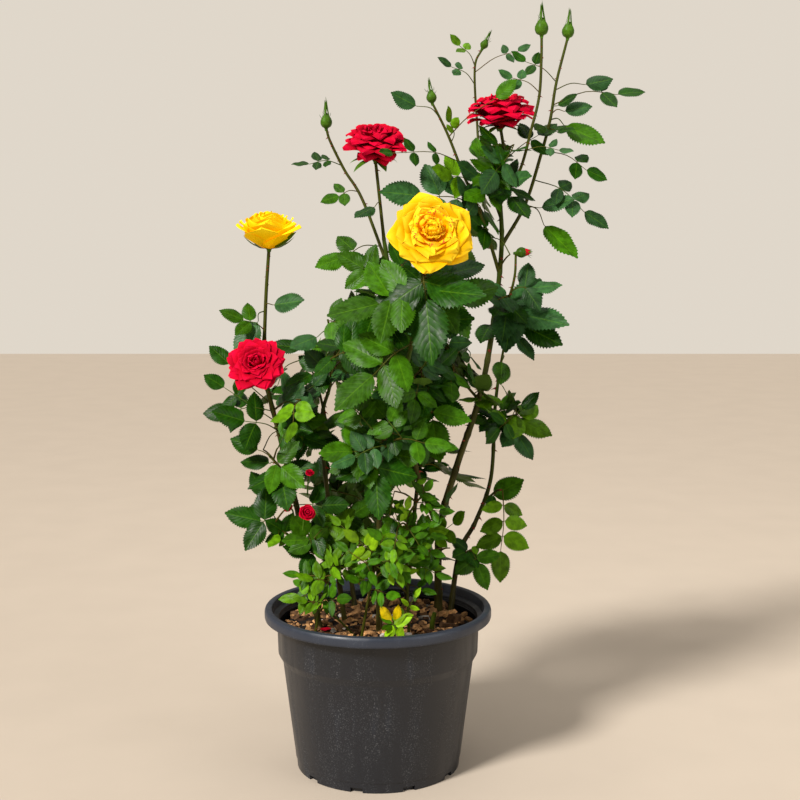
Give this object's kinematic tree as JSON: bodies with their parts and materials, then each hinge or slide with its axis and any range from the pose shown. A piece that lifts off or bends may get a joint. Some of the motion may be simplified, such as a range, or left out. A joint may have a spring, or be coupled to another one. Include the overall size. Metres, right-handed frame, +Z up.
{
  "type": "potted rose bush",
  "caption": "A rose bush in a round nursery pot of bark mix, with thorny canes, compound leaves, and red and yellow roses and buds, for patios and gardens",
  "frame": {"origin": "the middle of the pot's flat underside, on the surface that the pot stands on", "axes": "+Z up, -Y towards the front of the plant as pictured, +X to the viewer's right"},
  "size_m": [0.543, 0.3446, 0.9345],
  "materials": {
    "pot": "satin",
    "potting_mix": "matte",
    "cane": "satin",
    "leaf": "satin",
    "young_leaf": "satin"
  },
  "bodies": {
    "root": {"pot": "pot", "potting_mix": "potting_mix", "main_cane": "cane", "middle_cane": "cane", "left_cane": "cane", "front_cane": "cane", "centre_left_cane": "cane", "right_cane": "cane", "back_left_cane": "cane", "back_right_cane": "cane", "upper_rose_shoot": "leaf", "right_bud_shoot": "leaf", "tall_bud_shoot": "leaf", "small_bud_shoot": "leaf", "middle_bud_shoot": "leaf", "middle_rose_shoot": "leaf", "left_bud_shoot": "leaf", "yellow_rose_shoot": "leaf", "yellow_side_shoot": "leaf", "front_rose_shoot": "leaf", "left_middle_shoot": "leaf", "left_lower_shoot": "leaf", "centre_left_shoot": "leaf", "middle_leaf_shoot": "leaf", "side_bud_shoot": "leaf", "right_leaf_shoot": "leaf", "right_middle_shoot": "leaf", "right_hanging_shoot": "leaf", "right_foot_shoot": "leaf", "dark_twig_shoot": "leaf", "centre_right_shoot": "leaf", "centre_front_shoot": "leaf", "lower_right_shoot": "leaf", "lower_left_shoot": "leaf", "lower_back_shoot": "leaf", "back_left_shoot": "leaf", "back_right_shoot": "leaf", "back_middle_shoot": "leaf", "young_left_shoot": "young_leaf", "young_middle_shoot": "young_leaf", "young_right_shoot": "young_leaf", "rim_leaf_shoot": "young_leaf"}
  },
  "joints": []
}
